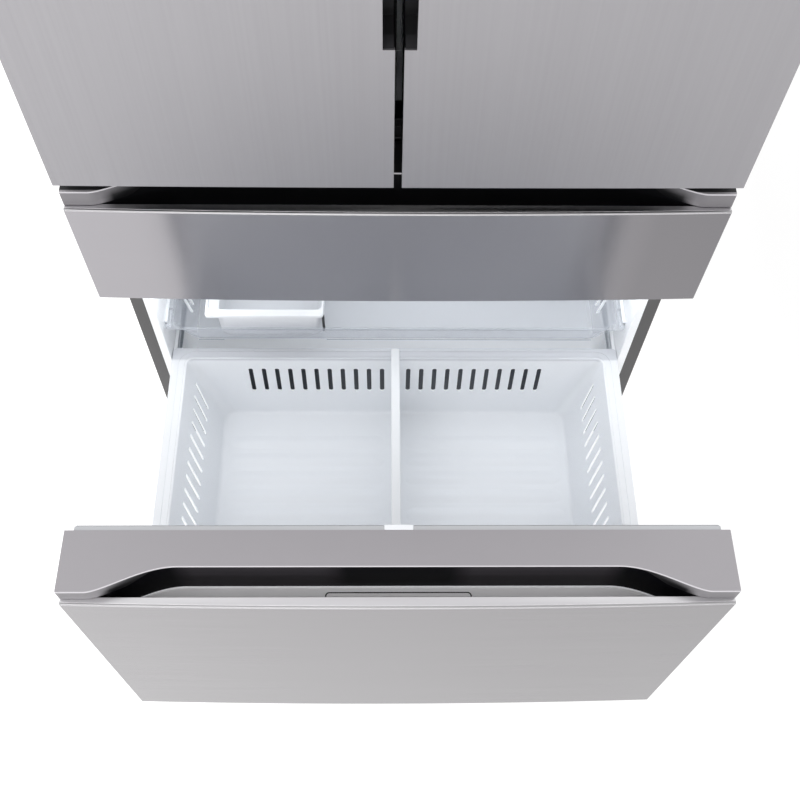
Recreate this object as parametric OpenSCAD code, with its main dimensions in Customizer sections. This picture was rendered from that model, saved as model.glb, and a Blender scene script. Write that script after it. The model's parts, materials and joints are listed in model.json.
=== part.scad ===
// French door refrigerator with two doors, a middle drawer and a bottom freezer drawer.
// Millimetres, +Z up. X runs across the front, +Y runs into the appliance.
// Every module is written with Y = 0 on the closed front plane, then moved by place().

/* [Overall] */
// Width across the doors, the drawers and the case
body_w = 908; // [760:1:1000]
// Height of the top of the case above the floor
case_top = 1744; // [1500:1:1900]
// Height of the top of the doors
door_top = 1756; // [1510:1:1910]
// Y of the case front plane, behind the closed doors
case_front = 106; // [80:1:140]
// Y of the back of the case
case_back = 893; // [650:1:950]
// Y distance from the closed front plane to the middle of the footprint as stored
origin_y = 209; // [0:1:400]

/* [Fronts] */
// Thickness of the doors and the drawer fronts
front_t = 96.5; // [70:0.5:120]
// Bottom edge of the two doors
door_z0 = 889; // [700:1:1100]
// Free edge of the left door
left_edge = -8; // [-20:0.5:-2]
// Free edge of the right door
right_edge = 2.8; // [1:0.2:20]
// How far the middle of the doors stands in front of their ends
door_bow = 1.5; // [0.5:0.1:8]
// How far the middle of the drawer fronts stands in front of their ends
drawer_bow = 6; // [0.5:0.1:10]
// Bottom edge of the middle drawer front
mid_z0 = 635.7; // [500:0.1:800]
// Top edge of the middle drawer panel
mid_rim = 840; // [700:0.1:1000]
// Bottom edge of the freezer drawer front
low_z0 = 54; // [40:1:100]
// Top edge of the freezer drawer panel
low_rim = 594; // [400:0.1:700]

/* [Pocket grips] */
// Thickness of a drawer panel at its top rim
rim_t = 11.4; // [6:0.1:20]
// Height of the grip cap above the panel rim, middle drawer
mid_cap_h = 26.4; // [15:0.1:50]
// Height of the grip cap above the panel rim, freezer drawer
low_cap_h = 26.4; // [15:0.1:50]
// Depth of the grip pocket below the cap
pocket_h = 84; // [40:1:110]
// Y of the back wall of the grip pocket
pocket_y = 44; // [30:0.5:60]
// Y of the cap front at its two ends
cap_end_y = 8.4; // [2:0.1:20]
// Half width where the cap front starts to sweep back
sweep_start = 416; // [350:1:440]
// Length over which the cap front sweeps back
sweep_len = 120; // [40:1:200]

/* [Compartments] */
// Half width between the liner walls
liner_x = 418; // [340:1:450]
// Y of the inner back wall
liner_back = 840; // [600:1:860]
// Floor of the fridge compartment
fridge_z0 = 905; // [800:1:1100]
// Ceiling of the fridge compartment
fridge_z1 = 1705; // [1450:1:1850]
// Floor of the middle compartment
midc_z0 = 652; // [550:1:800]
// Ceiling of the middle compartment
midc_z1 = 855; // [750:1:1000]
// Floor of the freezer compartment
low_floor = 85; // [70:1:150]
// Ceiling of the freezer compartment
low_ceil = 605; // [450:1:700]
// Y where the freezer floor steps up over the machine space
step_y = 612; // [450:1:700]
// Height of that step
step_z = 342; // [200:1:400]

/* [Drawers] */
// How far the freezer drawer is pulled out as stored
low_open = 469.5; // [0:0.5:520]
// Height of the freezer bin rim
bin_rim = 288; // [200:1:400]
// Height of the top of the freezer bin floor
bin_floor = 100; // [90:1:160]
// Half width inside the freezer bin at its rim
bin_top_x = 388; // [300:1:400]
// Half width inside the freezer bin at its floor
bin_low_x = 342; // [280:1:390]
// Wall thickness of the bins and trays
bin_t = 3; // [2:0.5:5]
// Distance between the slots in the back of the freezer bin
slot_pitch = 25; // [15:1:40]
// Width of one slot
slot_w = 8.5; // [4:0.5:14]
// Distance between the slots in the sides of the freezer bin
side_pitch = 27.2; // [22:0.1:40]
// Width of one side slot
side_slot_w = 5; // [3:0.5:8]
// Lean of the side slots towards the back, in degrees
side_lean = 16.5; // [0:0.5:25]
// Half width of each crisper's outer wall from the middle of the case
crisper_x = 372; // [250:1:372]
// Length of a telescopic slide member
slide_len = 450; // [300:1:500]

/* [Hidden] */
hw = body_w / 2;
mid_cap = mid_rim + mid_cap_h;
low_cap = low_rim + low_cap_h;
ledge = 0.8;
hinge_x = 439;
hinge_y = 42;
pin_r = 6;
fit = 0.05;
skin = 1.2;
bin_front = 121;
bin_back = 576.5;
tray_rim = 372;
tray_floor = 314;
flange_x = 417.2;

function smooth(t) = t * t * (3 - 2 * t);
function clamp01(t) = max(0, min(1, t));
function sweep_y(x) = cap_end_y + (pocket_y - cap_end_y)
    * smooth(pow(clamp01((sweep_start - abs(x)) / sweep_len), 0.8));
function sweep_points(x_end) = concat([[-x_end, cap_end_y]],
    [for (i = [0:24]) let (x = -sweep_start + i * sweep_len / 24) [x, sweep_y(x)]],
    [for (i = [0:24]) let (x = sweep_start - sweep_len + i * sweep_len / 24) [x, sweep_y(x)]],
    [[x_end, cap_end_y], [x_end, front_t], [-x_end, front_t]]);

module place() {
    translate([0, -origin_y, 0]) children();
}

// freezer drawer parts are written closed and stored pulled out by this much
module pulled(d) {
    translate([0, -d, 0]) children();
}

module block(x0, x1, y0, y1, z0, z1) {
    translate([x0, y0, z0]) cube([x1 - x0, y1 - y0, z1 - z0]);
}

module both_sides() {
    children();
    mirror([1, 0, 0]) children();
}

module upright(z0, z1) {
    translate([0, 0, z0]) linear_extrude(z1 - z0) children();
}

// extrude a [y, z] outline along X
module across(x0, x1) {
    translate([x0, 0, 0]) rotate([90, 0, 90]) linear_extrude(x1 - x0) children();
}

// extrude an [x, z] outline along Y
module deep(y0, y1) {
    translate([0, y1, 0]) rotate([90, 0, 0]) linear_extrude(y1 - y0) children();
}

module rod_x(x0, x1, y, z, r) {
    translate([x0, y, z]) rotate([0, 90, 0]) cylinder(r = r, h = x1 - x0, $fn = 48);
}

module rod_y(y0, y1, x, z, r) {
    translate([x, y0, z]) rotate([-90, 0, 0]) cylinder(r = r, h = y1 - y0, $fn = 48);
}

module rod_z(z0, z1, x, y, r) {
    translate([x, y, z0]) cylinder(r = r, h = z1 - z0, $fn = 48);
}

// plan outline whose front is one shallow curve across the full width
module bowed(x0, x1, y1, bow) {
    polygon(concat([for (i = [0:32]) let (x = x0 + i * (x1 - x0) / 32) [x, -bow * (1 - pow(x / hw, 2))]],
        [[x1, y1], [x0, y1]]));
}

// ring in the XZ plane between y0 and y1
module ring(x0, x1, z0, z1, w, y0, y1) {
    difference() {
        block(x0, x1, y0, y1, z0, z1);
        block(x0 + w, x1 - w, y0 - 1, y1 + 1, z0 + w, z1 - w);
    }
}

module slot_z(x, y0, y1, z0, z1, w) {
    block(x - w / 2, x + w / 2, y0, y1, z0 + w / 2, z1 - w / 2);
    rod_y(y0, y1, x, z0 + w / 2, w / 2);
    rod_y(y0, y1, x, z1 - w / 2, w / 2);
}

// slot through a side wall, centred on y and z, with its top leaning back
module slot_side(y, z, x0, x1, length, w, lean) {
    half = (length - w) / 2;
    translate([0, y, z]) rotate([-lean, 0, 0]) {
        block(x0, x1, -w / 2, w / 2, -half, half);
        for (end = [-half, half]) rod_x(x0, x1, 0, end, w / 2);
    }
}

// ---------------------------------------------------------------- cabinet

module outer_case() {
    color("#4c4e52") place() {
        difference() {
            block(-hw, hw, case_front, case_back - 1.5, 36, case_top);
            block(-hw + 1.5, hw - 1.5, case_front + 1.5, case_back, 30, case_top - 1.5);
            block(-432.5, 432.5, case_front - 1, case_front + 2, 70.5, 1722);
        }
        block(-432.6, 432.6, case_front, case_front + 1.5, 619.5, 637.5);
        block(-432.6, 432.6, case_front, case_front + 1.5, 869.5, 890.5);
    }
}

module back_cover() {
    color("#5a5d61") place() difference() {
        block(-hw, hw, case_back - 1.5, case_back, 300.2, case_top);
        for (x = [-360, 0, 360]) block(x - 30, x + 30, 880, 900, 1690, 1700);
    }
}

module cabinet_foam() {
    color("#e3d9ae") place() {
        both_sides() block(420.1, 452.4, 108.1, 891.4, 52.1, 1742.4);
        block(-420, 420, 108.1, 891.4, 1707.1, 1742.4);
        block(-420, 420, 842.1, 891.4, 340.2, 1707);
        block(-420, 420, 108.1, 842, 857.1, 902.9);
        block(-420, 420, 108.1, 842, 607.1, 649.9);
        block(-420, 420, 640.2, 891.4, 312, 339.9);
        block(-420, 420, 614.1, 640.1, 52.1, 339.9);
        block(-420, 420, 108.1, 614, 52.1, 82.9);
    }
}

module liner(z0, z1) {
    difference() {
        union() {
            block(-420, 420, case_front, 842, z0 - 2, z1 + 2);
            block(-432.4, 432.4, case_front, 108, z0 - 14.4, z1 + 14.4);
        }
        block(-liner_x, liner_x, 100, liner_back, z0, z1);
    }
}

module fridge_liner() {
    color("#f2f4f6") place() liner(fridge_z0, fridge_z1);
}

module mid_liner() {
    color("#eef1f4") place() liner(midc_z0, midc_z1);
}

module freezer_liner() {
    color("#e8edf2") place() difference() {
        union() {
            block(-420, 420, case_front, step_y + 2, low_floor - 2, low_ceil + 2);
            block(-420, 420, step_y, 842, step_z - 2, low_ceil + 2);
            block(-432.4, 432.4, case_front, 108, low_floor - 14.4, low_ceil + 14.4);
        }
        block(-liner_x, liner_x, 100, step_y, low_floor, low_ceil);
        block(-liner_x, liner_x, step_y - 1, liner_back, step_z, low_ceil);
    }
}

module base_frame() {
    color("#3a3c3f") place() {
        block(-452.4, 452.4, 108.1, 891.4, 50, 52);
        both_sides() block(414, 452.4, 108.1, 891.4, 36, 50);
        block(-414, 414, 108.1, 130, 36, 50);
        block(-414, 414, 868, 891.4, 36, 50);
        both_sides() {
            block(386, 389, 812, 848, 10, 50);
            block(411, 414, 812, 848, 10, 50);
            rod_x(386, 414, 830, 21, 4);
        }
    }
}

module kick_grille() {
    color("#2c2d30") place() difference() {
        block(-440, 440, 99, case_front, 12, 49);
        for (i = [-7:7], z = [17, 25, 33])
            block(i * 56 - 24, i * 56 + 24, 98, case_front + 1, z, z + 4);
    }
}

module leveling_legs() {
    color("#1d1e20") place() both_sides() {
        rod_z(0, 8, 430, 150, 18);
        rod_z(8, 36, 430, 150, 6);
        translate([430, 150, 27]) cylinder(r = 11, h = 9, $fn = 6);
    }
}

module rear_rollers() {
    color("#232427") place() both_sides() difference() {
        rod_x(391, 409, 830, 21, 21);
        rod_x(380, 420, 830, 21, 4 + fit);
    }
}

module machine_cover() {
    color("#4a4d50") place() difference() {
        block(-hw, hw, case_back - 1.5, case_back, 36, 300);
        for (i = [-8:8], z = [80, 130, 180, 230])
            block(i * 48 - 16, i * 48 + 16, 880, 900, z, z + 8);
    }
}

module compressor() {
    color("#202225") place() translate([255, 765, 0]) {
        for (x = [-75, 75], y = [-75, 75]) translate([x, y, 52]) cylinder(r = 11, h = 12, $fn = 32);
        translate([-92, -92, 64]) cube([184, 184, 4]);
        translate([0, 0, 68]) rotate_extrude($fn = 72)
            polygon([[0, 0], [70, 0], [84, 20], [84, 105], [76, 130], [56, 150], [28, 160], [0, 163]]);
        translate([60, 0, 120]) rotate([0, 90, 0]) cylinder(r = 6, h = 60, $fn = 24);
    }
}

module finned_coil(x0, x1, y0, y1, z0, z1, pitch, rows) {
    for (x = [x0:pitch:x1]) block(x, x + 1.5, y0, y1, z0, z1);
    for (y = [y0 + 15:30:y1 - 10], z = [z0 + 15:(z1 - z0 - 30) / (rows - 1):z1 - 10])
        rod_x(x0 - 8, x1 + 8, y, z, 4);
}

module condenser() {
    color("#b07a4c") place() {
        finned_coil(-120, 40, 690, 850, 60, 200, 10, 4);
        block(-126, 46, 690, 850, 52, 60);
        difference() {
            block(-160, -148, 690, 850, 52, 215);
            rod_x(-170, -140, 770, 135, 66);
        }
        block(-158, -110, 700, 840, 53, 57);
        for (a = [0, 120, 240]) translate([-157, 770, 135]) rotate([a, 0, 0])
            translate([0, -3, 8]) cube([6, 6, 61]);
        rod_x(-170, -150, 770, 135, 16);
    }
}

module rotor(r, hub_r, w, blades) {
    cylinder(r = hub_r, h = w, $fn = 48);
    for (i = [0:blades - 1]) rotate([0, 0, i * 360 / blades])
        translate([hub_r - 2, 0, w / 2]) rotate([32, 0, 0])
            translate([0, -r * 0.22, -1]) cube([r - hub_r, r * 0.44, 2]);
}

module condenser_fan() {
    color("#2a2b2e") place() translate([-196, 770, 135]) rotate([0, 90, 0]) rotor(60, 18, 24, 5);
}

module evaporator() {
    color("#b9bdc1") place() {
        finned_coil(-280, 280, 765, 835, 370, 520, 20, 4);
        block(-290, 290, 836, 839.9, 370, 520);
        for (x = [-280, 279]) block(x, x + 1.5, 834, 837, 370, 520);
    }
}

module evaporator_cover() {
    color("#eef1f4") place() difference() {
        block(-liner_x + 0.2, liner_x - 0.2, 740, 744, step_z + 0.1, low_ceil - 0.1);
        for (i = [-6:6]) if (abs(i) > 1) block(i * 58 - 20, i * 58 + 20, 730, 750, 380, 392);
        for (i = [-6:6]) if (abs(i) > 1) block(i * 58 - 20, i * 58 + 20, 730, 750, 520, 532);
        for (i = [-3:3]) block(i * 12 - 3, i * 12 + 3, 730, 750, 520, 590);
    }
}

module evaporator_fan() {
    color("#3b3d41") place() translate([0, 748, 556]) rotate([-90, 0, 0]) rotor(40, 14, 14, 5);
}

module air_tower() {
    color("#e9edf1") place() difference() {
        block(-82, 82, 806, 839.9, 930, 1690);
        for (z = [980:90:1640]) block(-60, 60, 800, 816, z, z + 9);
    }
}

module ceiling_light() {
    color("#fffdf4") place() block(-190, 190, 300, 380, 1697, 1704.9);
}

module glass_shelves() {
    color("#cfe3ea") place() for (z = [1180, 1420]) both_sides() block(12, 398, 236, 770, z, z + 4);
    color("#cfe3ea") place() block(-398, 398, 236, 770, 1064, 1068);
}

module shelf_frames() {
    color("#dfe4e8") place() {
        for (z = [1180, 1420]) both_sides() {
            block(8, 402, 228, 236, z - 8, z + 8);
            block(8, 402, 770, 778, z - 6, z + 8);
            block(8, 12, 236, 770, z - 10, z + 8);
            block(398, 402, 236, 770, z - 10, z + 8);
        }
        both_sides() {
            block(94, 104, 828, 839.9, 1100, 1680);
            block(396, 406, 828, 839.9, 1100, 1680);
            for (z = [1180, 1420]) {
                block(97, 101, 240, 828, z - 34, z - 0.1);
                block(399, 403, 240, 828, z - 34, z - 10);
            }
            block(crisper_x + 4, liner_x - 0.1, 236, 770, 1052, 1063.9);
            block(crisper_x + 4, crisper_x + 7, 236, 770, fridge_z0 + 0.1, 1052);
            block(crisper_x + 4, liner_x - 0.1, 236, 240, fridge_z0 + 0.1, 1052);
            block(398, 404, 236, 770, 1063.9, 1072);
        }
        block(-404, 404, 228, 236, 1052, 1074);
        block(-404, 404, 770, 778, 1052, 1072);
        block(-4, 4, 236, 770, fridge_z0 + 0.1, 1063.9);
    }
}

module crisper(x0, x1) {
    difference() {
        block(x0, x1, 215, 760, 909, 1046);
        block(x0 + bin_t, x1 - bin_t, 222, 757, 912, 1050);
    }
    block(x0 + 20, x1 - 20, 209, 215, 1020, 1046);
}

module crisper_left() {
    color("#dbe9f0") place() crisper(-crisper_x, -8);
}

module crisper_right() {
    color("#dbe9f0") place() crisper(8, crisper_x);
}

module top_hinges() {
    color("#6a6d71") place() both_sides() {
        block(404, 450, 112, 190, case_top, 1764);
        block(418, 450, 28, 112, 1759, 1764);
        rod_z(1734, 1759, hinge_x, hinge_y, pin_r);
        for (y = [130, 172]) translate([427, y, 1764]) cylinder(r = 7, h = 4, $fn = 6);
    }
}

module hinge_covers() {
    color("#3b3d40") place() both_sides() difference() {
        union() {
            block(398, 453, 108, 198, case_top + 0.1, 1784);
            block(410, 453, 20, 110, 1757.5, 1784);
        }
        block(401, 450.2, 106, 195, 1700, 1781);
        block(413, 450.2, 23, 120, 1700, 1781);
    }
}

module centre_hinges() {
    color("#54575b") place() both_sides() {
        block(402, 450, 103.5, 105.9, 872, 887);
        block(410, 450, 28, 104, 874, 879);
        rod_z(879, 888.5, hinge_x, hinge_y, 10);
        rod_z(888, 908, hinge_x, hinge_y, pin_r);
    }
}

// ---------------------------------------------------------------- slides

module fixed_member(z) {
    both_sides() {
        block(416, liner_x - 0.1, 112, 112 + slide_len + 30, z - 16, z + 16);
        block(411, 416, 112, 112 + slide_len + 30, z - 16, z - 14);
        block(411, 416, 112, 112 + slide_len + 30, z + 14, z + 16);
    }
}

module middle_member(z) {
    both_sides() {
        block(413, 415, 112, 112 + slide_len, z - 13, z + 13);
        block(408, 413, 112, 112 + slide_len, z - 13, z - 11);
        block(408, 413, 112, 112 + slide_len, z + 11, z + 13);
    }
}

module drawer_member(z, cover_top) {
    both_sides() {
        block(404, 412, 100, 110 + slide_len, z - 10, z + 10);
        block(404, 406.5, 100, 110 + slide_len, z + 10, cover_top - 4);
        block(403.6, 417.2, 108, 600, cover_top - 2.2, cover_top);
        block(404, 406.5, 108, 600, cover_top - 12, cover_top - 2.2);
    }
}

module drawer_slides_fixed() {
    color("#9ea2a6") place() {
        fixed_member(266);
        fixed_member(730);
    }
}

module mid_slide_links() {
    color("#a9adb1") place() middle_member(730);
}

module mid_slide_rails() {
    color("#e6eaee") place() drawer_member(730, 752);
}

module freezer_slide_links() {
    color("#a9adb1") place() pulled(low_open / 2) middle_member(266);
}

module freezer_slide_rails() {
    color("#eef2f6") place() pulled(low_open) drawer_member(266, bin_rim - 3.1);
}

module tray_rails() {
    color("#e6ebf0") place() both_sides() {
        block(408, liner_x - 0.1, 130, 604, 360, 368.8);
        block(412, liner_x - 0.1, 130, 604, 373.4, 378);
    }
}

// ---------------------------------------------------------------- ice and trays

module ice_maker() {
    color("#d8dde2") place() {
        difference() {
            block(-338, -136, 250, 420, 470, 545);
            for (i = [0:6]) block(-330 + i * 27, -309 + i * 27, 262, 375, 500, 560);
        }
        block(-338, -136, 388, 420, 545, low_ceil - 0.1);
        block(-338, -300, 250, 420, 545, 590);
        rod_x(-136, -128, 300, 520, 5);
    }
}

module ice_arm() {
    color("#c9ccd0") place() {
        difference() {
            rod_x(-135.5, -130, 300, 520, 10);
            rod_x(-140, -120, 300, 520, 5 + fit);
        }
        block(-135.5, -131.5, 298, 302, 415, 512);
        block(-320, -131.5, 298, 302, 411, 415);
    }
}

// drafted box: side is its [x, z] outline, flank its [y, z] outline
module drafted(side, flank) {
    intersection() {
        deep(0, 700) polygon(side);
        across(-500, 500) polygon(flank);
    }
}

module upper_tray() {
    color("#e4ecf3") place() difference() {
        union() {
            drafted([[-377, 310], [377, 310], [403.5, tray_rim], [-403.5, tray_rim]],
                [[131, 310], [590, 310], [600, tray_rim], [118, tray_rim]]);
            block(-416.8, 416.8, 118, 600, tray_rim - 3, tray_rim);
        }
        drafted([[-374, tray_floor], [374, tray_floor], [403.6, 380], [-403.6, 380]],
            [[135, tray_floor], [586, tray_floor], [596.8, 380], [121, 380]]);
        for (i = [0:22]) both_sides() slot_side(192 + i * 17, 338, 366, 404, 28, 4.5, 25);
    }
}

module ice_bin() {
    color("#f4f7fa") place() difference() {
        union() {
            drafted([[-324, tray_floor + 0.1], [-134, tray_floor + 0.1], [-130, 400], [-342, 400],
                [-342, 392], [-324, 384]],
                [[142, tray_floor + 0.1], [418, tray_floor + 0.1], [420, 400], [131, 400]]);
            block(-342, -130, 127, 132, 394, 400);
        }
        drafted([[-320, 318], [-138, 318], [-134, 410], [-338, 410], [-338, 394], [-320, 387]],
            [[147, 318], [414, 318], [416, 410], [142, 410]]);
    }
}

// ---------------------------------------------------------------- doors, written for the right side

module grip_cut(edge) {
    block(edge - 1, edge + 28, 24, 78, 1100, 1480);
    block(edge - 1, edge + 14, -20, 25, 1118, 1462);
}

module door_skin(edge) {
    difference() {
        upright(door_z0, door_top) bowed(edge, hw, front_t, door_bow);
        block(edge + skin, hw - skin, skin, front_t + 1, door_z0 - 1, door_top + 1);
        grip_cut(edge);
    }
}

module door_core(edge) {
    difference() {
        block(edge + skin, hw - skin, skin, front_t, door_z0, door_top);
        grip_cut(edge);
        rod_z(door_z0 - 1, door_z0 + 24, hinge_x, hinge_y, pin_r + fit);
        rod_z(door_top - 26, door_top + 1, hinge_x, hinge_y, pin_r + fit);
    }
}

module door_liner() {
    block(56, 424, front_t, 99, 912, 1716);
    difference() {
        block(60, 412, 99, 128, 916, 1698);
        block(66, 405, 98, 130, 922, 1692);
    }
}

module door_gasket(edge) {
    difference() {
        block(edge + 3, 446, front_t, 105.4, 891, 1738);
        block(edge + 17, 432, 90, 110, 905, 1724);
    }
}

module one_bin(x0, x1, z0, z1) {
    difference() {
        block(x0, x1, 99, 198, z0, z1);
        block(x0 + bin_t, x1 - bin_t, 103, 194, z0 + bin_t, z1 + 1);
    }
    block(x0, x1, 194, 200, z1 - 12, z1);
}

module door_bins() {
    one_bin(66.1, 345, 924, 1030);
    one_bin(66.1, 404.9, 1200, 1290);
    one_bin(66.1, 404.9, 1450, 1530);
}

module left_door_skin() {
    color("#b4b5b8") place() mirror([1, 0, 0]) door_skin(-left_edge);
}

module left_door_core() {
    color("#8d9094") place() mirror([1, 0, 0]) door_core(-left_edge);
}

module left_door_liner() {
    color("#f0f2f4") place() mirror([1, 0, 0]) {
        door_liner();
        for (z = [960, 1300, 1640]) difference() {
            block(50, 60, 99, 126, z, z + 30);
            block(40, 55, 90, 130, z - 1, z + 31);
        }
    }
}

module left_door_gasket() {
    color("#c9ccd0") place() mirror([1, 0, 0]) door_gasket(-left_edge);
}

module left_door_bins() {
    color("#e6eef4") place() mirror([1, 0, 0]) door_bins();
}

module right_door_skin() {
    color("#b2b3b6") place() door_skin(right_edge);
}

module right_door_core() {
    color("#8d9094") place() door_core(right_edge);
}

module right_door_liner() {
    color("#f0f2f4") place() door_liner();
}

module right_door_gasket() {
    color("#c9ccd0") place() door_gasket(right_edge);
}

module right_door_bins() {
    color("#e6eef4") place() door_bins();
}

module mullion_flap() {
    color("#3c3e42") place() {
        block(-46, -5.2, 106.2, 122, 912, 1698);
        rod_z(912, 1698, -46, 114.1, 6);
    }
}

// ---------------------------------------------------------------- drawer fronts

module drawer_panel(z0, rim) {
    upright(z0, rim) bowed(-hw, hw, rim_t, drawer_bow);
    both_sides() block(hw - skin, hw, rim_t - 1, front_t, z0, rim);
    block(-hw, hw, rim_t - 1, front_t, z0, z0 + skin);
}

module handle_cap(rim, cap) {
    upright(rim + ledge, cap) polygon(sweep_points(hw));
    intersection() {
        upright(cap - pocket_h, rim + ledge) polygon(sweep_points(hw - skin));
        block(-hw, hw, rim_t, front_t, 0, cap);
    }
    block(-hw + skin, hw - skin, rim_t, front_t, cap - pocket_h - 3, cap - pocket_h);
}

module drawer_core(z0, rim, cap) {
    block(-hw + skin, hw - skin, rim_t, front_t, z0 + skin, cap - pocket_h - 3);
    block(-424, 424, front_t - 0.5, 100, z0 + 28, cap - pocket_h - 3);
    block(-424, 424, front_t, 100, cap - pocket_h - 4, rim);
}

module drawer_gasket(z0, z1) {
    ring(-442.5, 442.5, z0, z1, 15, front_t, 105.4);
}

module mid_panel() {
    color("#9b9ca2") place() drawer_panel(mid_z0, mid_rim);
}

module mid_handle_cap() {
    color("#8b8c90") place() handle_cap(mid_rim, mid_cap);
}

module mid_core() {
    color("#f0f2f4") place() drawer_core(mid_z0, mid_rim, mid_cap);
}

module mid_gasket() {
    color("#b9bcc1") place() drawer_gasket(641, mid_cap - 0.4);
}

module mid_bin() {
    color("#dfe9f1") place() {
        difference() {
            block(-395, 395, 108, 600, 672, 790);
            block(-392, 392, 112, 597, 675, 800);
        }
        both_sides() block(394, 403, 108, 600, 756, 760);
        both_sides() block(394, 397, 108, 600, 748, 757);
        both_sides() block(400, 403, 108, 600, 748, 757);
    }
}

module freezer_panel() {
    color("#bcbdc0") place() pulled(low_open) drawer_panel(low_z0, low_rim);
}

module freezer_handle_cap() {
    color("#adabae") place() pulled(low_open) handle_cap(low_rim, low_cap);
}

module freezer_core() {
    color("#f0f2f4") place() pulled(low_open) drawer_core(low_z0, low_rim, low_cap);
}

module freezer_gasket() {
    color("#b9bcc1") place() pulled(low_open) difference() {
        drawer_gasket(62, low_cap - 0.4);
        block(-20.2, 20.2, 90, 110, 615.9, low_cap + 1);
    }
}

module pocket_cover() {
    color("#a9a9ab") place() pulled(low_open)
        block(-103, 103, rim_t + 1, pocket_y - 6, low_cap - pocket_h, low_cap - pocket_h + 3);
}

module basin(t) {
    intersection() {
        deep(0, 700) polygon([[-bin_low_x - t, bin_floor - t], [bin_low_x + t, bin_floor - t],
            [bin_top_x + t, bin_rim + t], [-bin_top_x - t, bin_rim + t]]);
        across(-500, 500) polygon([[bin_front + 14 - t, bin_floor - t], [bin_back - 10 + t, bin_floor - t],
            [bin_back + t, bin_rim + t], [bin_front - t, bin_rim + t]]);
    }
}

module freezer_bin() {
    color("#e9eff6") place() pulled(low_open) {
        difference() {
            union() {
                intersection() {
                    basin(bin_t);
                    block(-500, 500, 0, 700, 0, bin_rim);
                }
                block(-flange_x, flange_x, 108, 600, bin_rim - 3, bin_rim);
                ring_plan(-403, 403, 108, 600, 3, bin_rim - 14, bin_rim);
            }
            basin(0);
            for (i = [1:11]) both_sides()
                slot_z(i * slot_pitch, 540, 598, 178, 255, slot_w);
            for (i = [0:13]) both_sides()
                slot_side(538.5 - i * side_pitch, 212, 345, 399, 66, side_slot_w, side_lean);
        }
        for (x = [-1, 1], i = [0:4]) block(min(x * 12, x * 338), max(x * 12, x * 338),
            200 + i * 75, 226 + i * 75, bin_floor - 1, bin_floor + 2);
        block(-403, 403, 100, 108, bin_rim - 14, bin_rim);
    }
}

module ring_plan(x0, x1, y0, y1, w, z0, z1) {
    difference() {
        block(x0, x1, y0, y1, z0, z1);
        block(x0 + w, x1 - w, y0 + w, y1 - w, z0 - 1, z1 + 1);
    }
}

module bin_divider() {
    color("#f6f8fa") place() pulled(low_open) {
        block(-8, 8, 110, 597, bin_rim + 0.1, bin_rim + 5);
        across(-1.5, 1.5) polygon([[bin_front + 15, bin_floor + 2.2], [bin_back - 11, bin_floor + 2.2],
            [bin_back - 1, bin_rim + 1], [bin_front + 1, bin_rim + 1]]);
        block(-20, 20, front_t + 0.1, 104.8, 616.1, low_cap);
    }
}

outer_case();
back_cover();
cabinet_foam();
fridge_liner();
mid_liner();
freezer_liner();
base_frame();
kick_grille();
leveling_legs();
rear_rollers();
machine_cover();
compressor();
condenser();
condenser_fan();
evaporator();
evaporator_cover();
evaporator_fan();
air_tower();
ceiling_light();
glass_shelves();
shelf_frames();
crisper_left();
crisper_right();
top_hinges();
hinge_covers();
centre_hinges();
drawer_slides_fixed();
tray_rails();
ice_maker();
ice_arm();
upper_tray();
ice_bin();
left_door_skin();
left_door_core();
left_door_liner();
left_door_gasket();
left_door_bins();
right_door_skin();
right_door_core();
right_door_liner();
right_door_gasket();
right_door_bins();
mullion_flap();
mid_panel();
mid_handle_cap();
mid_core();
mid_gasket();
mid_bin();
mid_slide_rails();
mid_slide_links();
freezer_panel();
freezer_handle_cap();
freezer_core();
freezer_gasket();
freezer_bin();
bin_divider();
pocket_cover();
freezer_slide_rails();
freezer_slide_links();
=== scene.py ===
import json
import math
import bmesh
import bpy
from mathutils import Matrix, Vector


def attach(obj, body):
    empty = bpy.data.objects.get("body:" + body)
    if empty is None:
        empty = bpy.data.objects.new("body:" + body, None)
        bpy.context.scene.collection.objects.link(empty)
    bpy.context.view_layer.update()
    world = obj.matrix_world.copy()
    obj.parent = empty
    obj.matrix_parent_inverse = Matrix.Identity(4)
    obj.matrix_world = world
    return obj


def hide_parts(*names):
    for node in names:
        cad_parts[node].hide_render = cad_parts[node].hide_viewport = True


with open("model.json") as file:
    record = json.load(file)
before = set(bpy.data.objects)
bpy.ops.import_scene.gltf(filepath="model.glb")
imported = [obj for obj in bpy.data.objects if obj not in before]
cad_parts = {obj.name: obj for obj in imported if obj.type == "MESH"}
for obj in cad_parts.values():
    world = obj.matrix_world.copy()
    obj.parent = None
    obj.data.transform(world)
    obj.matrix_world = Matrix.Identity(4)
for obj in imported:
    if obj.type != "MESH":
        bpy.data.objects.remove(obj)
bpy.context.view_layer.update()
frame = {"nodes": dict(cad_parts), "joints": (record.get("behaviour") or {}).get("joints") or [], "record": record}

# ------------------------------------------------------------------ named sizes, metres
FRONT_Y = -0.209            # Y of the closed fronts at their ends; pieces are drawn from here
HALF_W = 0.454              # half the width of the fronts
FRONT_T = 0.0965            # thickness of doors and drawer fronts
RIM_T = 0.0114              # thickness of a drawer panel at its top rim
DRAWER_BOW = 0.006          # how far the middle of a drawer panel stands out
CAP_END_Y = 0.0084          # cap front at its ends
POCKET_Y = 0.044            # back wall of the grip pocket
SWEEP_START = 0.416         # where the cap front begins to sweep back, from the middle
SWEEP_LEN = 0.120
POCKET_H = 0.084            # floor of the grip pocket, below the cap's top
LEDGE = 0.0008              # joint between panel and cap
SKIN = 0.0012               # sheet steel
GROOVE_Y = 0.0036           # from a panel's face to the groove behind its top edge
GROOVE_D = 0.0010           # depth of that groove
HEM_Y = 0.0043              # from a panel's face to its bright hem
HEM_H = 0.004
LIP_H = 0.0030              # height of the cap's front along the grip
SEAL_HALF = 0.4425          # half the width of a drawer seal
SEAL_W = 0.015
CLIP_HALF = 0.020           # half the width of the clip that holds the divider
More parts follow.
